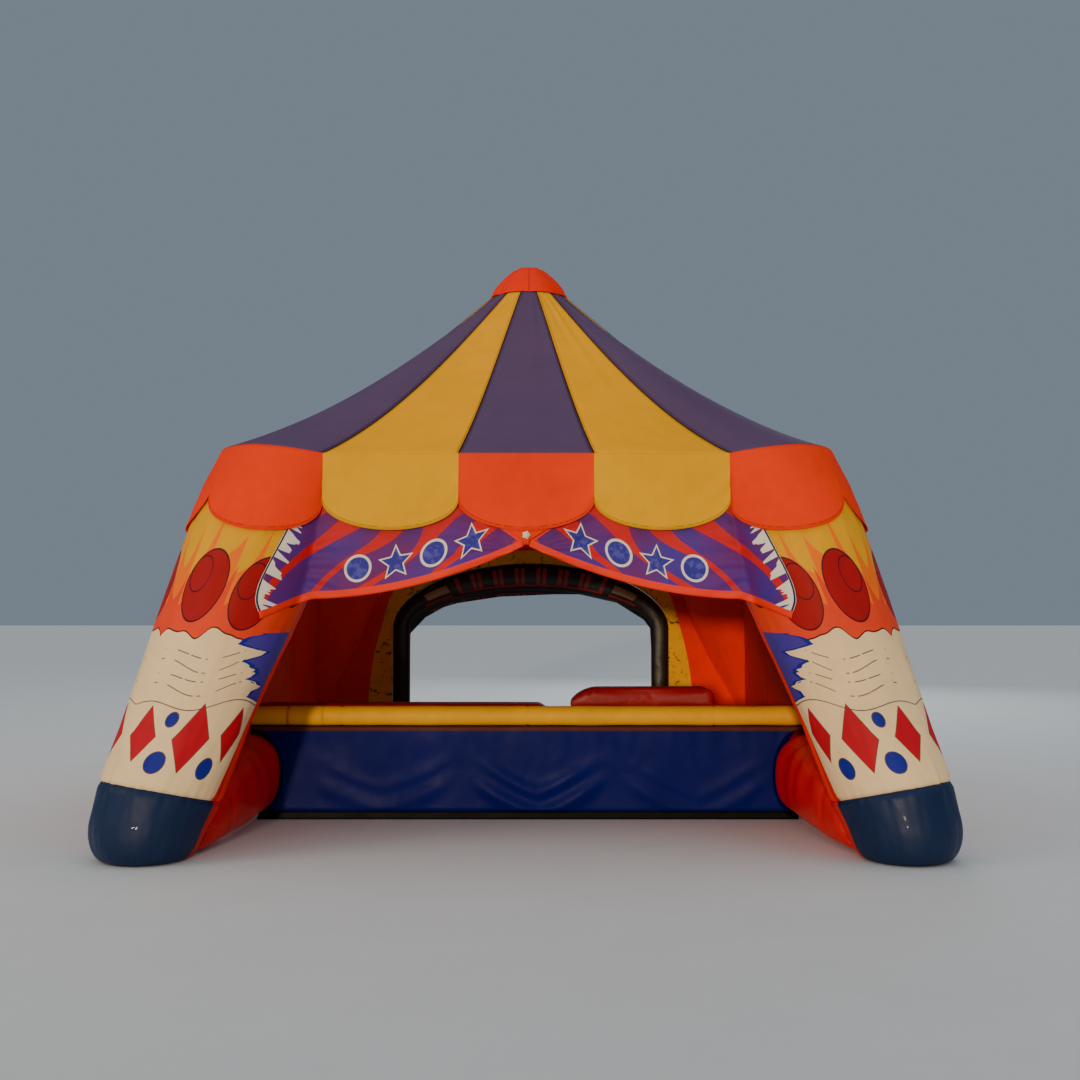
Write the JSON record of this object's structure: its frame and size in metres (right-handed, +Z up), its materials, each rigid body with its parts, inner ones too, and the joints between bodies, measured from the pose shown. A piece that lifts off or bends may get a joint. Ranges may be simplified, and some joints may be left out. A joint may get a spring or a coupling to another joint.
{
  "type": "inflatable event tent",
  "caption": "Square inflatable event tent: leaning air legs, striped gored roof with scalloped valance, draped front banner, padded counter, arched rear way out.",
  "frame": {"origin": "centre of the footprint on the ground", "axes": "+Z up, -Y towards the open front with the counter, +X to the right of someone who faces the rear from the front"},
  "size_m": [6.0742, 6.0742, 4.8],
  "materials": {
    "roof_purple": "satin coated polyester",
    "roof_yellow": "satin coated polyester",
    "cap_red": "satin coated polyester",
    "valance_side": "satin coated polyester, yellow with red in the middle",
    "valance_corner": "satin coated polyester",
    "leg_print": "printed PVC tarpaulin",
    "foot_navy": "glossy PVC tarpaulin",
    "frame_pale": "coated polyester over an air bladder",
    "banner_print": "printed satin polyester",
    "knot_red": "printed satin polyester",
    "wall_red": "coated polyester",
    "bolster_red": "PVC tarpaulin",
    "rear_wall_red": "coated polyester",
    "arch_black": "printed PVC tarpaulin",
    "counter_blue": "glossy vinyl",
    "counter_yellow": "glossy vinyl",
    "pad_red": "satin vinyl"
  },
  "bodies": {
    "root": {"foot_front_right": "foot_navy", "foot_rear_right": "foot_navy", "foot_rear_left": "foot_navy", "foot_front_left": "foot_navy", "leg_front_right": "leg_print", "leg_rear_right": "leg_print", "leg_rear_left": "leg_print", "leg_front_left": "leg_print", "eave_tube_front": "frame_pale", "eave_tube_right": "frame_pale", "eave_tube_rear": "frame_pale", "eave_tube_left": "frame_pale", "roof_frame": "frame_pale", "roof_gore_01": "roof_purple", "roof_gore_02": "roof_yellow", "roof_gore_03": "roof_purple", "roof_gore_04": "roof_yellow", "roof_gore_05": "roof_purple", "roof_gore_06": "roof_yellow", "roof_gore_07": "roof_purple", "roof_gore_08": "roof_yellow", "roof_gore_09": "roof_purple", "roof_gore_10": "roof_yellow", "roof_gore_11": "roof_purple", "roof_gore_12": "roof_yellow", "roof_gore_13": "roof_purple", "roof_gore_14": "roof_yellow", "roof_gore_15": "roof_purple", "roof_gore_16": "roof_yellow", "crown_cap": "cap_red", "valance_front": "valance_side", "valance_right": "valance_side", "valance_rear": "valance_side", "valance_left": "valance_side", "valance_front_right": "valance_corner", "valance_rear_right": "valance_corner", "valance_rear_left": "valance_corner", "valance_front_left": "valance_corner", "banner_right": "banner_print", "banner_left": "banner_print", "banner_knot": "knot_red", "side_wall_right": "wall_red", "bolster_right": "bolster_red", "side_wall_left": "wall_red", "bolster_left": "bolster_red", "rear_wall": "rear_wall_red", "rear_arch": "arch_black", "counter_base": "counter_blue", "counter_tube": "counter_yellow", "counter_top": "pad_red", "counter_cushion": "pad_red"}
  },
  "joints": []
}
